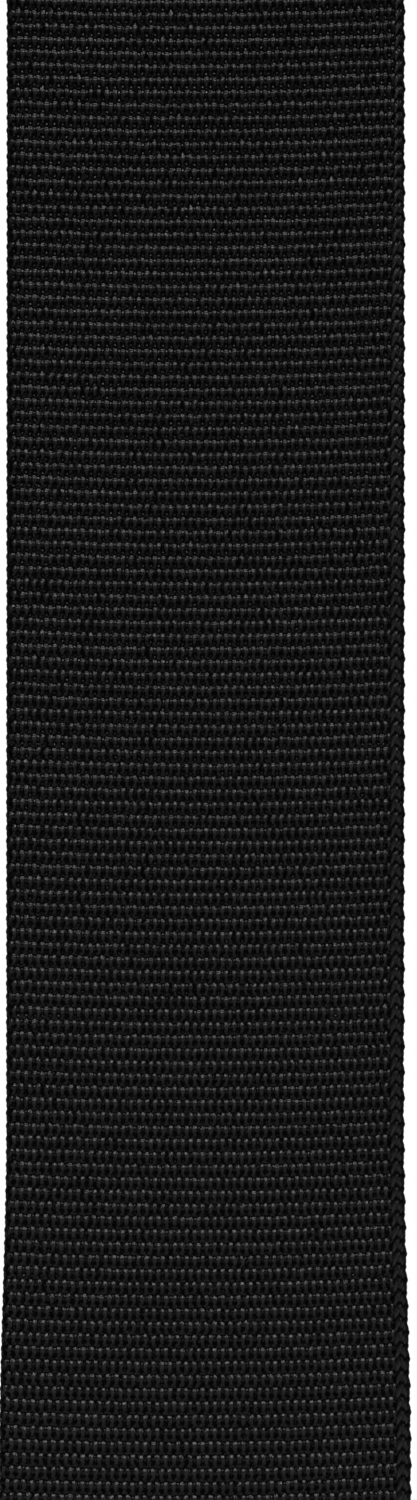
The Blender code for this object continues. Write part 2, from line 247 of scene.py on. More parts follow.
class Band:
    """Webbing laid along a route in the (y, z) plane, its weave rows numbered from the route's start."""

    def __init__(self, route, widening=None, turning=None, step=0.0002):
        route = np.array(route)
        runs = np.linalg.norm(np.diff(route, axis=0), axis=1)
        self.corners = np.concatenate([[0], np.cumsum(runs)])
        self.length = float(self.corners[-1])
        self.widening = widening or np.zeros_like
        self.turning = turning or np.zeros_like
        self.at = np.linspace(0, self.length, int(self.length / step) + 1)
        self.line = np.column_stack([np.interp(self.at, self.corners, route[:, k]) for k in (0, 1)])
        blend = np.hanning(13)[1:-1]
        blend /= blend.sum()
        tangent = np.pad(np.gradient(self.line, axis=0), ((5, 5), (0, 0)), mode="edge")
        self.tangent = np.column_stack([np.convolve(tangent[:, k], blend, "valid") for k in (0, 1)])
        pitch = ROW_PITCH * (1 + LOOSE_SHARE * self.widening(self.at[:-1]))
        self.row_count = np.concatenate([[0], np.cumsum(np.diff(self.at) / pitch)])

    def place(self, at):
        """Centre (y, z) and outward normal (y, z) at distances along the band."""
        centre = np.column_stack([np.interp(at, self.at, self.line[:, k]) for k in (0, 1)])
        tangent = np.column_stack([np.interp(at, self.at, self.tangent[:, k]) for k in (0, 1)])
        tangent /= np.linalg.norm(tangent, axis=1, keepdims=True)
        return centre, np.column_stack([-tangent[:, 1], tangent[:, 0]])

    def rows(self, at):
        return np.interp(at, self.at, self.row_count)

    def distance(self, row):
        return np.interp(row, self.row_count, self.at)

    def cut(self, at):
        """Nearest distance midway between two weave rows, where two lengths of the band meet."""
        return float(self.distance(np.rint(self.rows(at) - 0.5) + 0.5))


# -------------------- weave

# How each crown differs from the even weave, by its row and its yarn
RANDOM = np.random.default_rng(7)
DRAWS = (1024, 128)
CROWN_HEIGHT, CROWN_ACROSS, CROWN_ALONG, CROWN_TILT = (
    RANDOM.normal(0, 1, DRAWS).clip(-1.5, 1.5) for _ in range(4)
)
HEIGHT_WANDER = 0.000015
WIDTH_WANDER = 0.04
ACROSS_WANDER = 0.045
ALONG_WANDER = 0.030
TILT_WANDER = 0.06

# Crown: places along it in rows, widths in yarns, heights in metres
CROWN_TOP = 0.30
CROWN_TAIL = -0.36
SHOULDER_END = 0.46
TAPER_START = 0.42
CROWN_HALF = 0.85
TAPER_NARROWING = 0.47
CREST_HEIGHT = 0.00022
SHOULDER_DROP = 0.00040
TAPER_DROP = 0.00020
FLANK_DROP = 0.00018

# Legs below a crown, and the depth of the holes
LEG_START = -0.12
LEG_END = -0.92
LEG_REACH = 0.88
LEG_HALF = 0.31
LEG_LEVEL = 0.00010
LEG_DROP = 0.00015
LEG_DIP = 0.00040
LEG_FLANK_DROP = 0.00009
WEAVE_DEPTH = 0.00024

# Chain knitted along the +X selvedge: its middle, counted in yarns in from the edge, and its loops
CHAIN_INSET = 2.2
CHAIN_HALF = 1.8
CHAIN_ROLL = 1.3
CHAIN_ROLL_ROWS = 45
CHAIN_ROLL_ROW = (VIEW_Z + 0.16 * VIEW_HEIGHT - FRONT_TAB_TOP + WEBBING_INSERT) / ROW_PITCH
CHAIN_LOOP_HEIGHT = 0.00014
CHAIN_PLY_HEIGHT = 0.00006
CHAIN_GROOVE_DEPTH = 0.00013
CHAIN_LEVEL = 0.00009


def yarn_relief(yarn, row):
    """Height of the weave at (yarn, row): each yarn comes up in a crown on every second row.

    A crown has a steep, wide top edge and tapers downward. Below it two legs part and run, lower in
    the cloth, to the crowns on both sides in the next row, with open holes left between them.
    """
    highest = np.full(yarn.shape, -WEAVE_DEPTH)
    nearest = np.rint(yarn).astype(int)
    for step in (-1, 0, 1):
        index = nearest + step
        parity = (index % 2).astype(float)
        crown_row = 2 * np.rint((row - parity + 0.2) / 2) + parity
        pick = (crown_row.astype(int) % DRAWS[0], index % DRAWS[1])
        sway = ACROSS_WANDER * CROWN_ACROSS[pick]
        along = row - crown_row - ALONG_WANDER * CROWN_ALONG[pick]
        along = along - TILT_WANDER * CROWN_TILT[pick] * (yarn - index)
        across = yarn - index - sway
        run = (CROWN_TOP - along) / (CROWN_TOP - CROWN_TAIL)
        shoulder = np.clip(run / SHOULDER_END, 0, 1)
        taper = np.clip((run - TAPER_START) / (1 - TAPER_START), 0, 1)
        half = CROWN_HALF * (1 - (1 - shoulder) ** 2) ** 0.36 - TAPER_NARROWING * taper ** 0.7
        half = np.maximum(half * (1 + WIDTH_WANDER * CROWN_HEIGHT[pick]), 0.02)
        side = np.clip(np.abs(across) / half, 0, 1)
        crown = CREST_HEIGHT + HEIGHT_WANDER * CROWN_HEIGHT[pick] - SHOULDER_DROP * (1 - shoulder) ** 1.6
        crown = crown - TAPER_DROP * taper + FLANK_DROP * (np.sqrt(1 - side ** 3.2) - 1)
        shown = (run > 0) & (run < 1) & (side < 1)
        highest = np.maximum(highest, np.where(shown, crown, -WEAVE_DEPTH))
        parting = np.clip((LEG_START - along) / (LEG_START - LEG_END), 0, 1)
        from_leg = np.abs(np.abs(yarn - index - sway * (1 - parting)) - LEG_REACH * parting) / LEG_HALF
        from_leg = np.clip(from_leg, 0, 1)
        leg = LEG_LEVEL - LEG_DROP * parting - LEG_DIP * np.maximum(parting - 0.5, 0)
        leg = leg + LEG_FLANK_DROP * (np.sqrt(1 - from_leg ** 3) - 1)
        shown = (along < LEG_START) & (along > LEG_END) & (from_leg < 1)
        highest = np.maximum(highest, np.where(shown, leg, -WEAVE_DEPTH))
    return highest


def selvedge_chain(yarn, row):
    """Height of the loops knitted along the +X selvedge, and how far they take over from the weave.

    From the upper half of the front leg on, the chain is rolled part of the way round the edge.
    """
    rolled = CHAIN_ROLL * eased((row - CHAIN_ROLL_ROW) / CHAIN_ROLL_ROWS)
    from_middle = yarn - (YARNS - CHAIN_INSET + rolled)
    over = eased((from_middle + CHAIN_HALF) / 0.6)
    loops = CHAIN_LOOP_HEIGHT * np.cos(2 * np.pi * (row + 0.40 * np.abs(from_middle)))
    loops = loops + CHAIN_PLY_HEIGHT * np.cos(2 * np.pi * (2 * row - 0.9 * from_middle + 0.2))
    groove = CHAIN_GROOVE_DEPTH * np.exp(-(from_middle / 0.4) ** 2)
    return loops - groove + CHAIN_LEVEL, over


def face_samples(count_per_yarn):
    """Yarn numbers across a face, from edge yarn to edge yarn."""
    return np.linspace(0, YARNS - 1, (YARNS - 1) * count_per_yarn + 1)


def yarn_place(yarn):
    """Place across the band, from -1 to 1, of a yarn number; the warp is set a little closer to +X."""
    share = yarn / (YARNS - 1) * 2 - 1
    return share + WARP_LEAN * (1 - share * share)


def webbing(name, band, start, end, per_yarn, per_row, finish):
    """Closed length of a band between two distances along it, woven on both faces, with rolled selvedges."""
    first = math.ceil(band.rows(start) * per_row - 1e-6)
    last = math.floor(band.rows(end) * per_row + 1e-6)
    at = band.distance(np.arange(first, last + 1) / per_row)
    at = np.concatenate([[start], at[(at > start + 5e-5) & (at < end - 5e-5)], [end]])
    rows = band.rows(at)[:, None]
    centre, normal = band.place(at)
    half = (WIDTH / 2 - SELVEDGE_INSET) * (TIGHT_SHARE + LOOSE_SHARE * band.widening(at))[:, None]
    bend = np.linspace(0, np.pi, 9)[1:-1][None, :]
    crest = THICKNESS / 2 - CREST_HEIGHT

    def bowed(place):
        return rows + WEFT_BOW / ROW_PITCH * (1 - place * place)

    def face(yarn, row_shift):
        place = yarn_place(yarn)
        row = bowed(place) + row_shift
        lift = yarn_relief(np.broadcast_to(yarn, row.shape), row)
        chain, over = selvedge_chain(yarn, row)
        lift = lift + (chain - lift) * over
        shoulder = np.clip((1 - np.abs(place)) / SELVEDGE_WIDTH_SHARE, 0, 1)
        return place, row, lift, crest + lift - SELVEDGE_DROP * (1 - shoulder) ** 2

    outer = face_samples(per_yarn)[None, :]
    inner = face_samples(1)[::-1][None, :]
    place, outer_row, outer_lift, outer_out = face(outer, 0.0)
    inner_place, inner_row, inner_lift, inner_out = face(inner, 0.5)

    right_scallop = SCALLOP * np.cos(np.pi * rows) + SCALLOP_RIPPLE * np.cos(2 * np.pi * rows)
    left_scallop = LEFT_SCALLOP * np.cos(2 * np.pi * rows + 1.0)
    grip = GRIP * np.cos(2 * np.pi * rows + 3 * bend) + SCALLOP_RIPPLE * np.cos(6 * bend)
    right_across = half + (SELVEDGE_ROLL + right_scallop + grip) * np.sin(bend)
    left_across = -half - (SELVEDGE_ROLL + left_scallop + grip) * np.sin(bend)
    edge_out = (crest - SELVEDGE_DROP + grip) * np.cos(bend)

    across = np.concatenate([place * half, right_across, inner_place * half, left_across], axis=1)
    out = np.concatenate([outer_out, edge_out, -inner_out, -edge_out], axis=1)
    turn = band.turning(at)[:, None]
    points = np.empty(across.shape + (3,))
    points[..., 0] = across * np.cos(turn) - out * np.sin(turn)
    out = across * np.sin(turn) + out * np.cos(turn)
    points[..., 1] = centre[:, 0:1] + normal[:, 0:1] * out
    points[..., 2] = centre[:, 1:2] + normal[:, 1:2] * out

    edge = np.ones_like(bend)
    yarn_map = np.concatenate([outer, edge * (YARNS + bend), inner, -1 - edge * bend], axis=1)
    row_map = np.concatenate([outer_row, bowed(edge), inner_row, bowed(edge)], axis=1)
    # The weave's height, kept as the lift attribute, sets the painted shade in the finish: the colour is
    # painted darker where the weave lies low.
    edge_shade_lift = grip + EDGE_SHADE_RAISE
    painted_shade_lift = np.concatenate([outer_lift, edge_shade_lift, inner_lift, edge_shade_lift], axis=1) / CREST_HEIGHT
    values = {"yarn": np.broadcast_to(yarn_map, across.shape), "row": row_map, "lift": painted_shade_lift}
    item = ring_mesh(name, points, finish, values)
    return item


# -------------------- meshes

def linked(name, data):
    """New object of a mesh, curve, light or camera, in the scene."""
    item = bpy.data.objects.new(name, data)
    bpy.context.scene.collection.objects.link(item)
    return item


def ring_mesh(name, points, finish, values):
    """Closed mesh through rings of points, capped at both ends, with its values kept as attributes."""
    rings, count = points.shape[:2]
    index = np.arange(rings * count).reshape(rings, count)
    nearer = index[:-1]
    further = index[1:]
    quads = np.stack([nearer, np.roll(nearer, -1, 1), np.roll(further, -1, 1), further], axis=-1).reshape(-1)
    loops = np.concatenate([quads, index[0][::-1], index[-1]]).astype(np.int32)
    walls = (rings - 1) * count
    starts = np.concatenate([np.arange(walls) * 4, [walls * 4, walls * 4 + count]]).astype(np.int32)
    mesh = bpy.data.meshes.new(name)
    mesh.vertices.add(rings * count)
    mesh.vertices.foreach_set("co", points.reshape(-1).astype(np.float32))
    mesh.loops.add(len(loops))
    mesh.loops.foreach_set("vertex_index", loops)
    mesh.polygons.add(walls + 2)
    mesh.polygons.foreach_set("loop_start", starts)
    mesh.update(calc_edges=True)
    mesh.validate()
    for key, value in values.items():
        layer = mesh.attributes.new(key, "FLOAT", "POINT")
        layer.data.foreach_set("value", np.ascontiguousarray(value, dtype=np.float32).reshape(-1))
    mesh.shade_smooth()
    ends = np.empty(len(mesh.edges) * 2, dtype=np.int32)
    mesh.edges.foreach_get("vertices", ends)
    ring_of = ends.reshape(-1, 2) // count
    rim = (ring_of[:, 0] == ring_of[:, 1]) & ((ring_of[:, 0] == 0) | (ring_of[:, 0] == rings - 1))
    sharp = mesh.attributes.new("sharp_edge", "BOOLEAN", "EDGE")
    sharp.data.foreach_set("value", rim)
    mesh.materials.append(finish)
    return linked(name, mesh)


def object_of(name, mesh, finish):
    """Object of a finished mesh, its place in the mesh."""
    mesh.materials.clear()
    mesh.materials.append(finish)
    mesh.shade_smooth()
    return linked(name, mesh)


def evaluated_mesh(item):
    """Plain mesh of an object as its modifiers leave it; the object itself is removed."""
    graph = bpy.context.evaluated_depsgraph_get()
    mesh = bpy.data.meshes.new_from_object(item.evaluated_get(graph))
    bpy.data.objects.remove(item, do_unlink=True)
    return mesh


def mesh_of_curve(name, curve, turn):
    """Closed mesh of a curve, with its caps welded to its sides."""
    mesh = evaluated_mesh(linked(name, curve))
    work = bmesh.new()
    work.from_mesh(mesh)
    bmesh.ops.remove_doubles(work, verts=work.verts, dist=0.000001)
    bmesh.ops.transform(work, matrix=turn, verts=work.verts)
    bmesh.ops.recalc_face_normals(work, faces=work.faces)
    work.to_mesh(mesh)
    work.free()
    return mesh


def plate(name, outlines, thickness, turn):
    """Flat plate of a closed outline, with a hole for every further outline."""
    curve = bpy.data.curves.new(name, "CURVE")
    curve.dimensions = "2D"
    curve.fill_mode = "BOTH"
    curve.extrude = thickness / 2
    for outline in outlines:
        spline = curve.splines.new("POLY")
        spline.points.add(len(outline) - 1)
        for point, (across, up) in zip(spline.points, outline):
            point.co = (across, up, 0.0, 1.0)
        spline.use_cyclic_u = True
    return mesh_of_curve(name, curve, turn)


# Turns that lay a flat outline, drawn across and up, into the strap's frame
FACING_Y = Matrix.Rotation(math.radians(90), 4, "X")
FACING_X = Matrix(((0, 0, 1, 0), (1, 0, 0, 0), (0, 1, 0, 0), (0, 0, 0, 1)))


# -------------------- finishes

def add_node(tree, kind, **settings):
    made = tree.nodes.new(kind)
    for key, value in settings.items():
        setattr(made, key, value)
    return made


def put(tree, socket, source):
    """Link a socket to another node's output, or set its value."""
    if isinstance(source, bpy.types.NodeSocket):
        tree.links.new(source, socket)
    else:
        socket.default_value = source


class Shading:
    """Short names for building one material's node tree."""

    def __init__(self, name):
        self.material = bpy.data.materials.new(name)
        self.material.use_nodes = True
        self.tree = self.material.node_tree
        self.shader = self.tree.nodes["Principled BSDF"]

    def node(self, kind, **settings):
        return add_node(self.tree, kind, **settings)

    def feed(self, node, socket, source):
        put(self.tree, node.inputs[socket], source)

    def finish(self, socket, source):
        self.feed(self.shader, socket, source)

    def maths(self, operation, first, second=0.0, third=0.0):
        made = self.node("ShaderNodeMath", operation=operation)
        self.feed(made, 0, first)
        self.feed(made, 1, second)
        self.feed(made, 2, third)
        return made.outputs[0]

    def times(self, first, second):
        return self.maths("MULTIPLY", first, second)

    def scaled(self, source, factor, added):
        return self.maths("MULTIPLY_ADD", source, factor, added)

    def value(self, name):
        return self.node("ShaderNodeAttribute", attribute_name=name).outputs["Fac"]

    def object_place(self, scale=(1, 1, 1)):
        place = self.node("ShaderNodeTexCoord").outputs["Object"]
        mapping = self.node("ShaderNodeMapping")
        self.feed(mapping, "Vector", place)
        self.feed(mapping, "Scale", scale)
        return mapping.outputs[0]

    def shifted(self, place, amount, reach):
        """Place moved a little, so a pattern on it isn't regular."""
        moved = self.node("ShaderNodeVectorMath", operation="SCALE")
        self.feed(moved, 0, (1.0, 1.0, 1.0))
        self.feed(moved, "Scale", self.times(amount, reach))
        total = self.node("ShaderNodeVectorMath", operation="ADD")
        self.feed(total, 0, place)
        self.feed(total, 1, moved.outputs[0])
        return total.outputs[0]

    def along_weave(self, yarn, row, yarn_scale, row_scale):
        """Place on the weave, counted in yarns across and rows along."""
        made = self.node("ShaderNodeCombineXYZ")
        self.feed(made, 0, self.times(yarn, yarn_scale))
        self.feed(made, 1, self.times(row, row_scale))
        return made.outputs[0]

    def noise(self, place, scale, detail=3.0, roughness=0.55):
        made = self.node("ShaderNodeTexNoise")
        self.feed(made, "Vector", place)
        self.feed(made, "Scale", scale)
        self.feed(made, "Detail", detail)
        self.feed(made, "Roughness", roughness)
        return made.outputs["Fac"]

    def ramp(self, source, stops):
        made = self.node("ShaderNodeValToRGB")
        self.feed(made, 0, source)
        while len(made.color_ramp.elements) < len(stops):
            made.color_ramp.elements.new(0.5)
        for element, (at, colour) in zip(made.color_ramp.elements, stops):
            element.position = at
            element.color = (*colour, 1.0)
        return made.outputs["Color"]

    def bump(self, height, strength, distance):
        made = self.node("ShaderNodeBump")
        self.feed(made, "Height", height)
        self.feed(made, "Strength", strength)
        self.feed(made, "Distance", distance)
        return made.outputs[0]


def woven_finish(name, crown_bump):
    """Black spun yarn with fine filaments along the warp; its colour is painted darker down between the
    crowns, as painted shade in the hollows.

    Where the mesh is too coarse for every crown, crown_bump shapes them, and their painted shade, from the
    yarn and row numbers.
    """
    work = Shading(name)
    yarn = work.value("yarn")
    row = work.value("row")
    lift = work.value("lift")
    # In the plain finish a cosine pattern of yarns and rows stands for the crowns, both for the bump and for
    # the painted shade.
    if crown_bump:
        over = work.maths("COSINE", work.times(yarn, math.pi))
        under = work.maths("COSINE", work.times(row, math.pi))
        lift = work.times(over, under)
    filaments = work.noise(work.along_weave(yarn, row, 5.0, 1.3), 1.0, 4.0, 0.6)
    patches = work.noise(work.along_weave(yarn, row, 0.9, 1.1), 1.0, 1.0, 0.5)
    number = work.maths("ROUND", yarn)
    hand = work.maths("COSINE", work.times(number, math.pi))
    lean = work.times(work.maths("SUBTRACT", yarn, number), work.times(hand, 1.3))
    turn = work.scaled(row, 2.7, work.scaled(patches, 1.5, lean))
    plies = work.maths("COSINE", work.times(turn, 2 * math.pi))
    cloudy = work.noise(work.object_place(), 90.0, 2.0)
    # Painted shade: crown follows the weave's height, so the colour is painted darker down between the crowns
    # and in the holes; the filament, ply and cloudy terms are the yarn's own pattern.
    crown = work.maths("MAXIMUM", work.scaled(lift, 0.62, 0.37), 0.0)
    tone = work.times(crown, work.scaled(filaments, 1.0, 0.45))
    tone = work.times(tone, work.scaled(plies, 0.14, 0.95))
    tone = work.times(tone, work.scaled(cloudy, 0.3, 0.85))
    # Painted shade: black and dark colour the holes and the low weave, grey the crowns.
    black, dark, grey = (0.0, 0.0, 0.0), (0.0020, 0.0020, 0.0020), (0.0170, 0.0170, 0.0175)
    work.finish("Base Color", work.ramp(tone, [(0.10, black), (0.45, dark), (1.0, grey)]))
    rough = work.scaled(filaments, 0.18, work.scaled(patches, 0.12, 0.13))
    work.finish("Roughness", rough)
    work.finish("Specular IOR Level", 0.14)
    height = work.scaled(filaments, 0.00004, work.times(plies, 0.000010))
    if crown_bump:
        height = work.scaled(lift, 0.00013, height)
    work.finish("Normal", work.bump(height, 1.0, 1.0))
    return work.material


def leather_finish():
    """Black dyed leather: fine pebbled grain with creases, a little wear along its cut edges."""
    work = Shading("black_leather")
    place = work.object_place()
    warp = work.noise(place, 260.0, 3.0)
    pebbles = work.node("ShaderNodeTexVoronoi", feature="F1")
    work.feed(pebbles, "Vector", work.shifted(place, warp, 0.0009))
    work.feed(pebbles, "Scale", 1250.0)
    grain = work.maths("SUBTRACT", 1.0, pebbles.outputs["Distance"])
    creases = work.noise(place, 420.0, 5.0, 0.62)
    cloudy = work.noise(place, 70.0, 3.0)
    worn = work.times(work.value("worn"), work.scaled(creases, 1.6, -0.35))
    tone = work.scaled(grain, 0.30, work.times(cloudy, 0.35))
    tone = work.maths("ADD", tone, work.maths("MAXIMUM", worn, 0.0))
    dark, mid, light = (0.0035, 0.0032, 0.0031), (0.0110, 0.0100, 0.0094), (0.046, 0.040, 0.035)
    work.finish("Base Color", work.ramp(tone, [(0.15, dark), (0.60, mid), (1.0, light)]))
    rough = work.scaled(creases, 0.26, 0.30)
    work.finish("Roughness", work.scaled(work.value("worn"), 0.16, rough))
    work.finish("Specular IOR Level", 0.42)
    height = work.scaled(grain, 0.00012, work.times(creases, 0.00014))
    work.finish("Normal", work.bump(height, 0.9, 1.0))
    return work.material


def moulded_finish():
    """Black plastic, moulded with a fine satin texture and faint scuffs all over."""
    work = Shading("moulded_black")
    place = work.object_place()
    satin = work.noise(place, 2600.0, 2.0, 0.6)
    scuffs = work.noise(work.object_place((240.0, 240.0, 1900.0)), 1.0, 4.0, 0.65)
    cloudy = work.noise(place, 120.0, 2.0)
    tone = work.scaled(scuffs, 0.55, work.times(cloudy, 0.45))
    dark, mid, light = (0.0050, 0.0050, 0.0054), (0.0085, 0.0085, 0.0090), (0.030, 0.030, 0.031)
    work.finish("Base Color", work.ramp(tone, [(0.25, dark), (0.55, mid), (0.85, light)]))
    rough = work.scaled(satin, 0.14, work.scaled(cloudy, 0.16, 0.20))
    work.finish("Roughness", rough)
    work.finish("Specular IOR Level", 0.45)
    height = work.scaled(satin, 0.000030, work.times(scuffs, 0.000035))
    work.finish("Normal", work.bump(height, 0.8, 1.0))
    return work.material


def thread_finish():
    """Black bonded thread, three plies twisted together."""
    work = Shading("black_thread")
    plies = work.node("ShaderNodeTexWave", bands_direction="DIAGONAL")
    work.feed(plies, "Vector", work.object_place())
    work.feed(plies, "Scale", 620.0)
    work.feed(plies, "Distortion", 1.2)
    fuzz = work.noise(work.object_place(), 5200.0, 3.0)
    tone = work.scaled(plies.outputs["Fac"], 0.6, work.times(fuzz, 0.4))
    dark, light = (0.003, 0.003, 0.003), (0.020, 0.020, 0.021)
    work.finish("Base Color", work.ramp(tone, [(0.1, dark), (0.9, light)]))
    work.finish("Roughness", work.scaled(fuzz, 0.25, 0.32))
    work.finish("Specular IOR Level", 0.45)
    work.finish("Normal", work.bump(tone, 0.7, 0.00010))
    return work.material


# -------------------- stage, light and camera

def make_stage():
    """Pale floor under the longest setting of the strap, and a white surround."""
    bpy.ops.mesh.primitive_plane_add(size=FLOOR_SIZE, location=(0, 0, FLOOR_Z))
    floor = bpy.context.object
    floor.name = "studio_floor"
    work = Shading("studio_floor")
    work.finish("Base Color", (0.74, 0.74, 0.75, 1))
    work.finish("Roughness", 0.85)
    floor.data.materials.append(work.material)
    world = bpy.data.worlds.new("studio")
    bpy.context.scene.world = world
    world.use_nodes = True
    nodes = world.node_tree.nodes
    links = world.node_tree.links
    seen = nodes["Background"]
    seen.inputs[0].default_value = (1, 1, 1, 1)
    seen.inputs[1].default_value = 1.0
    lighting = nodes.new("ShaderNodeBackground")
    lighting.inputs[0].default_value = (1, 1, 1, 1)
    lighting.inputs[1].default_value = 0.04
    path = nodes.new("ShaderNodeLightPath")
    mix = nodes.new("ShaderNodeMixShader")
    links.new(path.outputs["Is Camera Ray"], mix.inputs[0])
    links.new(lighting.outputs[0], mix.inputs[1])
    links.new(seen.outputs[0], mix.inputs[2])
    links.new(mix.outputs[0], nodes["World Output"].inputs[0])


def area_light(name, place, aim, size, power):
    light = bpy.data.lights.new(name, "AREA")
    light.shape = "RECTANGLE"
    light.size = size[0]
    light.size_y = size[1]
    light.energy = power
    item = linked(name, light)
    item.location = place
    item.rotation_euler = (Vector(aim) - Vector(place)).to_track_quat("-Z", "Y").to_euler()


def make_lights():
    aim = (0, -LEG_Y, VIEW_Z)
    area_light("key_above", (0.0, -1.45, 2.1), aim, (2.0, 0.6), 125)
    area_light("fill_front", (0.5, -2.6, 0.2), aim, (1.0, 1.0), 0.6)
    area_light("back_above", (0.3, 1.9, 1.6), (0, LEG_Y, VIEW_Z), (1.4, 0.8), 60)


def make_camera():
    camera = bpy.data.cameras.new("camera")
    camera.sensor_width = 36.0
    camera.lens = 36.0 * VIEW_DISTANCE / VIEW_HEIGHT
    camera.clip_start = 0.01
    item = linked("camera", camera)
    item.location = (0.0004, -LEG_Y - THICKNESS / 2 - VIEW_DISTANCE, VIEW_Z)
    item.rotation_euler = (math.radians(90), 0, 0)
    bpy.context.scene.camera = item


# -------------------- lengths of webbing

# Samples of the weave for each yarn across and each row along
WOVEN_FINE = (3, 10)
WOVEN_COARSE = (1, 2)
WOVEN_TURN = (1, 5)
WOVEN_TAIL = (1, 4)
FINE_LENGTHS = 6
FRAME_MARGIN = 0.006
ARCH_RUN_OUT = 0.004


def lay(name, band, start, end, node, samples=WOVEN_COARSE):
    """One length of webbing that stands for a solid of the frame."""
    finish = WOVEN if samples == WOVEN_FINE else WOVEN_PLAIN
    item = webbing(name, band, start, end, *samples, finish)
    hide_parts(node)
    return item


def make_main_webbing(band, turn_at):
    """The band from the front tab, over the shoulder and down the back leg to the ring."""
    low = band.cut(VIEW_Z - VIEW_HEIGHT / 2 - FRAME_MARGIN - BAND_FOOT_Z)
    high = band.cut(VIEW_Z + VIEW_HEIGHT / 2 + FRAME_MARGIN - BAND_FOOT_Z)
    fine = [band.cut(at) for at in np.linspace(low, high, FINE_LENGTHS + 1)]
    back_start = band.cut(-SHOULDER_RADIUS - BAND_FOOT_Z + math.pi * LEG_Y + ARCH_RUN_OUT)
    arch_middle = band.cut((high + back_start) / 2)
    lengths = [("lower_front", 0.0, low, WOVEN_COARSE)]
    for number in range(FINE_LENGTHS):
        lengths.append((f"front_{number + 1}", fine[number], fine[number + 1], WOVEN_FINE))
    lengths.append(("arch_front", high, arch_middle, WOVEN_COARSE))
    lengths.append(("arch_back", arch_middle, back_start, WOVEN_COARSE))
    for name, start, end, samples in lengths:
        item = lay("main_webbing_" + name, band, start, end, "main_webbing", samples)
        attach(item, "strap")
    back = lay("main_webbing_back", band, back_start, turn_at, "main_webbing")
    top = band.place(np.array([back_start]))[0][0]
    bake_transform(back)


def make_doubled_webbing(band, turn_at, return_at, loop_at):
    """The band's last lengths: round the ring, back up, and over the slider's centre bar."""
    turn = lay("ring_turn_band", band, turn_at, return_at, "ring_turn_webbing", WOVEN_TURN)
    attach(turn, "turn_body")
    back_up = lay("return_band", band, return_at, loop_at, "return_webbing")
    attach(back_up, "turn_body")
    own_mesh(back_up)
    loop = lay("slider_loop_band", band, loop_at, band.length, "slider_loop_webbing", WOVEN_TURN)
    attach(loop, "slider_body")


def make_tail_webbing():
    band = Band(tail_route())
    item = lay("tail_band", band, 0.0, band.length, "tail_webbing", WOVEN_TAIL)
    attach(item, "tail_body")


# -------------------- leather tabs

def tip_of_tab():
    """Centre height of the tab's round tip, and the angle at which the tapered side meets it."""
    centre = TAB_TIP_RADIUS - TAB_LENGTH
    up = -TAB_STRAIGHT_LENGTH - centre
    lean = math.atan2(up, TAB_SIDE) - math.acos(TAB_TIP_RADIUS / math.hypot(TAB_SIDE, up))
    return centre, lean


def tab_outline():
    """Tab from its straight top, down straight sides and a taper, to the round tip."""
    centre, lean = tip_of_tab()
    corner = TAB_SIDE - TAB_CORNER_RADIUS
    lean_degrees = math.degrees(lean)
    outline = arc((-corner, -TAB_CORNER_RADIUS), TAB_CORNER_RADIUS, 180, 90, 12)
    outline += arc((corner, -TAB_CORNER_RADIUS), TAB_CORNER_RADIUS, 90, 0, 12)
    outline += [(TAB_SIDE, -TAB_STRAIGHT_LENGTH)]
    outline += arc((0, centre), TAB_TIP_RADIUS, lean_degrees, -180 - lean_degrees, 64)
    outline += [(-TAB_SIDE, -TAB_STRAIGHT_LENGTH)]
    return outline


def button_hole_outline():
    """Round hole with a slit from its upper side, which lets the strap button's head through."""
    centre, _ = tip_of_tab()
    half = BUTTON_SLIT_WIDTH / 2
    mouth = math.degrees(math.asin(half / BUTTON_HOLE_RADIUS))
    outline = arc((0, centre), BUTTON_HOLE_RADIUS, 90 + mouth, 450 - mouth, 48)
    slit_end = centre + BUTTON_HOLE_RADIUS + BUTTON_SLIT_LENGTH - half
    outline += arc((0, slit_end), half, 0, 180, 8)
    return outline


def box_seam(low, high):
    """Corners of a rectangular seam across the webbing."""
    side = WIDTH / 2 - BOX_SEAM_INSET
    return [(-side, low), (side, low), (side, high), (-side, high)]


def edge_seam():
    """Seam inside the tab's taper and round tip, closed by a straight run below the webbing's end."""
    centre, lean = tip_of_tab()
    radius = TAB_TIP_RADIUS - EDGE_SEAM_INSET
    top = -WEBBING_INSERT - CLEARANCE - LEATHER_RAMP_LENGTH - SEAM_SPACING
    across = (radius - (top - centre) * math.sin(lean)) / math.cos(lean)
    lean_degrees = math.degrees(lean)
    tip = arc((0, centre), radius, lean_degrees, -180 - lean_degrees, 64)
    return [(across, top)] + tip + [(-across, top)]


TAB_BOX_SEAM = box_seam(-WEBBING_INSERT + SEAM_SPACING, -SEAM_SPACING)


def distance_to(points, outline):
    """Distance of every point (across, up) from a closed outline."""
    nearest = np.full(len(points), np.inf)
    for start, end in zip(outline, outline[1:] + outline[:1]):
        start = np.array(start)
        run = np.array(end) - start
        share = np.clip((points - start) @ run / max(run @ run, 1e-18), 0, 1)
        nearest = np.minimum(nearest, np.linalg.norm(points - start - share[:, None] * run, axis=1))
    return nearest


def cutting_lines(low, high, step, seam_lines=()):
    """Even cuts between two places, and closer ones on both sides of a straight seam."""
    lines = list(np.arange(low, high, step))
    for line in seam_lines:
        lines = [place for place in lines if abs(place - line) > 1.3 * GROOVE_HALF_WIDTH]
        lines += [line + share * GROOVE_HALF_WIDTH for share in GROOVE_CUTS]
    return lines


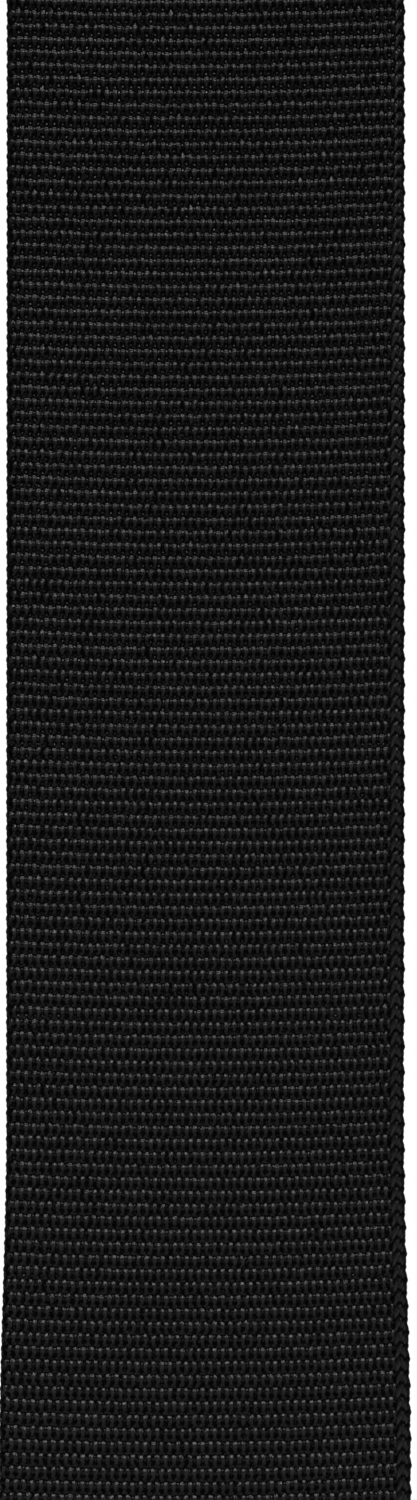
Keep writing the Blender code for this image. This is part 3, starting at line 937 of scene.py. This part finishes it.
def flat_ply():
    """Flat leather blank with rounded edges, cut into small faces that can take the grooves and the ramp."""
    mesh = plate("leather_blank", [tab_outline(), button_hole_outline()], LEATHER_THICKNESS, FACING_Y)
    work = bmesh.new()
    work.from_mesh(mesh)
    bmesh.ops.dissolve_limit(work, angle_limit=math.radians(1), verts=work.verts, edges=work.edges)
    rims = [edge for edge in work.edges if edge.is_manifold and edge.calc_face_angle() > math.radians(65)]
    bmesh.ops.bevel(work, geom=rims, offset=LEATHER_EDGE_ROUND, segments=3, profile=0.5, affect="EDGES")
    side = WIDTH / 2 - BOX_SEAM_INSET
    ramp_low = -WEBBING_INSERT - LEATHER_RAMP_LENGTH
    across_lines = cutting_lines(-TAB_SIDE + 0.0008, TAB_SIDE - 0.0007, LEATHER_GRID, (-side, side))
    box_lines = (TAB_BOX_SEAM[0][1], TAB_BOX_SEAM[2][1])
    up_lines = cutting_lines(ramp_low, -0.001, LEATHER_FLAT_GRID, box_lines)
    up_lines += cutting_lines(0.0008 - TAB_LENGTH, ramp_low, LEATHER_GRID)
    for places, normal in ((across_lines, (1, 0, 0)), (up_lines, (0, 0, 1))):
        for place in places:
            everything = work.verts[:] + work.edges[:] + work.faces[:]
            bmesh.ops.bisect_plane(work, geom=everything, plane_co=Vector(normal) * place, plane_no=normal)
    bmesh.ops.triangulate(work, faces=[face for face in work.faces if len(face.verts) > 4])
    work.to_mesh(mesh)
    work.free()
    return mesh


def make_ply(name, blank, side, spread, place, finish):
    """Leather ply pressed over the webbing's end, with sunken seam lines; side is -1 for the lining."""
    mesh = blank.copy()
    mesh.name = name
    count = len(mesh.vertices)
    points = np.empty(count * 3)
    mesh.vertices.foreach_get("co", points)
    points = points.reshape(-1, 3)
    flat = points[:, [0, 2]]
    outer = np.clip(side * points[:, 1] / (LEATHER_THICKNESS / 2), 0, 1)
    from_seam = np.minimum(distance_to(flat, TAB_BOX_SEAM), distance_to(flat, edge_seam()))
    groove = GROOVE_DEPTH * (1 - eased(from_seam / GROOVE_HALF_WIDTH))
    from_edge = np.minimum(distance_to(flat, tab_outline()), distance_to(flat, button_hole_outline()))
    ramp_low = -WEBBING_INSERT - CLEARANCE - LEATHER_RAMP_LENGTH
    apart = spread + LEATHER_THICKNESS / 2
    together = (CLEARANCE + LEATHER_THICKNESS) / 2
    middle = together + (apart - together) * eased((flat[:, 1] - ramp_low) / LEATHER_RAMP_LENGTH)
    waves = LEATHER_WAVE * np.sin(flat[:, 0] * 310 + side) * np.sin(flat[:, 1] * 240 + 2 * side)
    lifted = side * (middle + outer * (waves - groove)) + points[:, 1]
    turned, centre_y, top = place
    made = np.column_stack([turned * points[:, 0], centre_y + turned * lifted, top + points[:, 2]])
    mesh.vertices.foreach_set("co", made.reshape(-1))
    worn = mesh.attributes.new("worn", "FLOAT", "POINT")
    worn.data.foreach_set("value", np.exp(-(from_edge / LEATHER_WEAR_WIDTH) ** 2).astype(np.float32))
    mesh.update()
    return object_of(name, mesh, finish)


def make_tab(prefix, body, spread, place, blank):
    """Two plies and their four rows of stitches; place is (facing, centre y, top z)."""
    turned, centre_y, top = place
    box_face = spread + LEATHER_THICKNESS
    edge_face = CLEARANCE / 2 + LEATHER_THICKNESS
    for ply_name, thread, side in (("face", "needle", 1), ("lining", "bobbin", -1)):
        node = f"{prefix}_tab_{ply_name}"
        ply = make_ply(node + "_leather", blank, side, spread, place, LEATHER)
        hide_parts(node)
        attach(ply, body)
        for seam, outline, face in (("box", TAB_BOX_SEAM, box_face), ("edge", edge_seam(), edge_face)):
            line = [(across, centre_y + turned * side * face, top + up) for across, up in outline]
            sew(f"{prefix}_{seam}_{thread}_thread", line, turned * side, body)


# -------------------- stitches

def link_inputs(tree, node, **sources):
    """Feed a node's inputs by name, with _ where the name has a space."""
    for label, source in sources.items():
        put(tree, node.inputs[label.replace("_", " ")], source)


def stitch_tree(finish):
    """Node tree that sets one curved stitch on every stitch length of a closed seam line."""
    tree = bpy.data.node_groups.new("row_of_stitches", "GeometryNodeTree")
    tree.interface.new_socket("Seam Line", in_out="INPUT", socket_type="NodeSocketGeometry")
    for label in ("Stitch Length", "Thread Thickness", "Dive", "Slant"):
        tree.interface.new_socket(label, in_out="INPUT", socket_type="NodeSocketFloat")
    tree.interface.new_socket("Outward", in_out="INPUT", socket_type="NodeSocketVector")
    tree.interface.new_socket("Stitches", in_out="OUTPUT", socket_type="NodeSocketGeometry")

    def add(kind, **settings):
        return add_node(tree, kind, **settings)

    def maths(operation, first, second):
        made = add("ShaderNodeMath", operation=operation)
        put(tree, made.inputs[0], first)
        put(tree, made.inputs[1], second)
        return made.outputs[0]

    given = add("NodeGroupInput").outputs
    half = maths("MULTIPLY", given["Stitch Length"], 0.46)
    far_end = add("ShaderNodeCombineXYZ")
    near_end = add("ShaderNodeCombineXYZ")
    link_inputs(tree, far_end, X=half)
    link_inputs(tree, near_end, X=maths("MULTIPLY", half, -1.0))
    line = add("GeometryNodeCurvePrimitiveLine")
    link_inputs(tree, line, Start=near_end.outputs[0], End=far_end.outputs[0])
    pieces = add("GeometryNodeResampleCurve", mode="COUNT")
    link_inputs(tree, pieces, Curve=line.outputs[0], Count=8)
    parted = add("ShaderNodeSeparateXYZ")
    tree.links.new(add("GeometryNodeInputPosition").outputs[0], parted.inputs[0])
    share = maths("DIVIDE", parted.outputs["X"], half)
    steep = maths("POWER", maths("ABSOLUTE", share, 0.0), 3.5)
    sunk = add("ShaderNodeCombineXYZ")
    link_inputs(tree, sunk, Z=maths("MULTIPLY", steep, maths("MULTIPLY", given["Dive"], -1.0)))
    curved = add("GeometryNodeSetPosition")
    link_inputs(tree, curved, Geometry=pieces.outputs[0], Offset=sunk.outputs[0])
    round_thread = add("GeometryNodeCurvePrimitiveCircle")
    link_inputs(tree, round_thread, Resolution=6, Radius=maths("MULTIPLY", given["Thread Thickness"], 0.5))
    stitch = add("GeometryNodeCurveToMesh")
    link_inputs(tree, stitch, Curve=curved.outputs[0], Profile_Curve=round_thread.outputs[0], Fill_Caps=True)

    seam = add("GeometryNodeMeshToCurve")
    tree.links.new(given["Seam Line"], seam.inputs[0])
    centres = add("GeometryNodeResampleCurve", mode="LENGTH")
    link_inputs(tree, centres, Curve=seam.outputs[0], Length=given["Stitch Length"])
    face_out = add("FunctionNodeAlignRotationToVector", axis="Z")
    link_inputs(tree, face_out, Vector=given["Outward"])
    along = add("FunctionNodeAlignRotationToVector", axis="X", pivot_axis="Z")
    tangent = add("GeometryNodeInputTangent").outputs[0]
    link_inputs(tree, along, Rotation=face_out.outputs[0], Vector=tangent)
    wobble = add("FunctionNodeRandomValue", data_type="FLOAT")
    wobble.inputs[2].default_value = -0.045
    wobble.inputs[3].default_value = 0.045
    link_inputs(tree, wobble, Seed=5)
    slanted = add("FunctionNodeAxisAngleToRotation")
    link_inputs(tree, slanted, Axis=(0, 0, 1), Angle=maths("ADD", given["Slant"], wobble.outputs[1]))
    turned = add("FunctionNodeRotateRotation", rotation_space="LOCAL")
    link_inputs(tree, turned, Rotation=along.outputs[0], Rotate_By=slanted.outputs[0])
    sewn = add("GeometryNodeInstanceOnPoints")
    link_inputs(tree, sewn, Points=centres.outputs[0], Instance=stitch.outputs[0], Rotation=turned.outputs[0])
    real = add("GeometryNodeRealizeInstances")
    tree.links.new(sewn.outputs[0], real.inputs[0])
    finished = add("GeometryNodeSetMaterial")
    link_inputs(tree, finished, Geometry=real.outputs[0], Material=finish)
    tree.links.new(finished.outputs[0], add("NodeGroupOutput").inputs[0])
    return tree


def sew(name, line, facing, body):
    """Row of stitches along a closed seam line that lies on a cloth's face; facing is its side along Y."""
    place = [(across, along - facing * THREAD_SUNK, up) for across, along, up in line]
    edges = [(index, (index + 1) % len(place)) for index in range(len(place))]
    path = bpy.data.meshes.new(name)
    path.from_pydata(place, edges, [])
    drawn = linked(name + "_line", path)
    row = drawn.modifiers.new("stitches", "NODES")
    row.node_group = STITCHES
    inputs = [socket for socket in STITCHES.interface.items_tree if socket.in_out == "INPUT"]
    given = {socket.name: socket.identifier for socket in inputs}
    row[given["Stitch Length"]] = STITCH_LENGTH
    row[given["Thread Thickness"]] = THREAD_THICKNESS
    row[given["Dive"]] = 1.1 * THREAD_THICKNESS
    row[given["Slant"]] = math.radians(7)
    row[given["Outward"]] = (0.0, float(facing), 0.0)
    item = object_of(name.replace("thread", "stitches"), evaluated_mesh(drawn), THREAD)
    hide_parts(name)
    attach(item, body)


def make_loop_seam():
    """Seam that holds the webbing's end below the slider, through the flap and the layer behind it."""
    low = LOOP_LOW[2] + SEAM_SPACING
    high = SLIDER_Z - SLIDER_BAR_ROUND - FLAP_SLOPE_LENGTH - THREAD_THICKNESS
    flap = LEG_Y - 2 * LAYER_STEP - THICKNESS / 2
    outer = LEG_Y - LAYER_STEP + THICKNESS / 2
    for thread, face, facing in (("needle", flap, -1), ("bobbin", outer, 1)):
        line = [(across, face, up) for across, up in box_seam(low, high)]
        sew(f"slider_loop_{thread}_thread", line, facing, "slider_body")


# -------------------- slider and ring

def fused(name, parts, finish):
    """One moulded body from overlapping closed parts, its edges and inner corners rounded."""
    work = bmesh.new()
    for part in parts:
        work.from_mesh(part)
        bpy.data.meshes.remove(part)
    mesh = bpy.data.meshes.new(name)
    work.to_mesh(mesh)
    work.free()
    drawn = object_of(name + "_parts", mesh, finish)
    skin = drawn.modifiers.new("skin", "REMESH")
    skin.mode = "VOXEL"
    skin.voxel_size = MOULDING_GRAIN
    rounding = drawn.modifiers.new("rounding", "SMOOTH")
    rounding.factor = 0.5
    rounding.iterations = MOULDING_ROUNDS
    return object_of(name, evaluated_mesh(drawn), finish)


def rounded_bar():
    """Section of a slider bar: flat faces front and back, round top and bottom."""
    radius = SLIDER_BAR_THICKNESS / 2
    straight = SLIDER_BAR_ROUND
    return arc((0, straight), radius, 0, 180, 12) + arc((0, -straight), radius, 180, 360, 12)


def slider_rail_outline(bow, reach):
    """Side rail seen from the side: an even strip bowed back to the centre bar, with round ends."""
    radius = (bow * bow + SLIDER_BAR_PITCH * SLIDER_BAR_PITCH) / (2 * bow)
    half = SLIDER_RAIL_DEPTH / 2
    sweep = math.degrees(math.asin(reach / radius))
    ends = arc((radius, 0), radius, 180 - sweep, 180 + sweep, 1)
    outline = arc((radius, 0), radius + half, 180 - sweep, 180 + sweep, 32)
    outline += arc(ends[1], half, 180 + sweep, 360 + sweep, 12)[1:-1]
    outline += arc((radius, 0), radius - half, 180 + sweep, 180 - sweep, 32)
    outline += arc(ends[0], half, -sweep, 180 - sweep, 12)[1:-1]
    return outline


def make_slider():
    """Three bars between two bowed rails, in one moulded body."""
    bow = SLIDER_WRAP_RADIUS + LAYER_STEP + THICKNESS / 2 + CLEARANCE + SLIDER_BAR_THICKNESS / 2
    rail_middle = SLIDER_HIGH[0] - SLIDER_RAIL_WIDTH / 2
    rail = slider_rail_outline(bow, SLIDER_BAR_PITCH + SLIDER_BAR_HEIGHT / 4)
    parts = []
    for side in (-1, 1):
        place = Matrix.Translation((side * rail_middle, SLIDER_Y, SLIDER_Z))
        parts.append(plate("slider_rail", [rail], SLIDER_RAIL_WIDTH, place @ FACING_X))
    for forward, up in ((0, 0), (bow, SLIDER_BAR_PITCH), (bow, -SLIDER_BAR_PITCH)):
        place = Matrix.Translation((0, SLIDER_Y + forward, SLIDER_Z + up))
        parts.append(plate("slider_bar", [rounded_bar()], 2 * SLIDER_HIGH[0] - CLEARANCE, place @ FACING_X))
    slider = fused("slider_moulding", parts, MOULDED)
    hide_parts("slider")
    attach(slider, "slider_body")


def make_ring():
    """Rectangular loop of round bar with round corners."""
    across = WIDTH / 2 + RING_SIDE_PLAY + RING_BAR_DIAMETER / 2
    corner = across - RING_CORNER_RADIUS
    upper = RING_Z - RING_CORNER_RADIUS
    lower = TAIL_Z + RING_CORNER_RADIUS
    corners = [(corner, upper), (corner, lower), (-corner, lower), (-corner, upper)]
    path = []
    for centre, start in zip(corners, (90, 0, -90, 180)):
        path += arc(centre, RING_CORNER_RADIUS, start, start - 90, 16)
    curve = bpy.data.curves.new("ring", "CURVE")
    curve.dimensions = "3D"
    curve.bevel_depth = RING_BAR_DIAMETER / 2
    curve.bevel_resolution = 12
    spline = curve.splines.new("POLY")
    spline.points.add(len(path) - 1)
    for point, (along, up) in zip(spline.points, path):
        point.co = (along, 0.0, up, 1.0)
    spline.use_cyclic_u = True
    mesh = mesh_of_curve("ring", curve, Matrix.Translation((0, RING_Y, 0)))
    ring = object_of("ring_moulding", mesh, MOULDED)
    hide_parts("ring")
    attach(ring, "ring_body")


# -------------------- the strap

make_camera()
make_lights()
make_stage()
bpy.context.scene.view_settings.view_transform = "Standard"

WOVEN = woven_finish("woven_webbing", False)
WOVEN_PLAIN = woven_finish("woven_webbing_plain", True)
LEATHER = leather_finish()
MOULDED = moulded_finish()
THREAD = thread_finish()
STITCHES = stitch_tree(THREAD)

strap_route, strap_marks = main_route()
strap_band = Band(strap_route, widening, turning)
turn_at, return_at, loop_at = (
    float(strap_band.corners[strap_marks[key]]) for key in ("turn", "return", "loop")
)
make_main_webbing(strap_band, turn_at)
make_doubled_webbing(strap_band, turn_at, return_at, loop_at)
make_tail_webbing()

leather_blank = flat_ply()
front_spread = THICKNESS / 2 + CLEARANCE
rear_spread = THICKNESS + 1.5 * CLEARANCE
make_tab("front", "strap", front_spread, (-1, -LEG_Y, FRONT_TAB_TOP), leather_blank)
make_tab("rear", "tail_body", rear_spread, (1, RING_Y, REAR_TAB_TOP), leather_blank)
bpy.data.meshes.remove(leather_blank)
make_loop_seam()
make_slider()
make_ring()
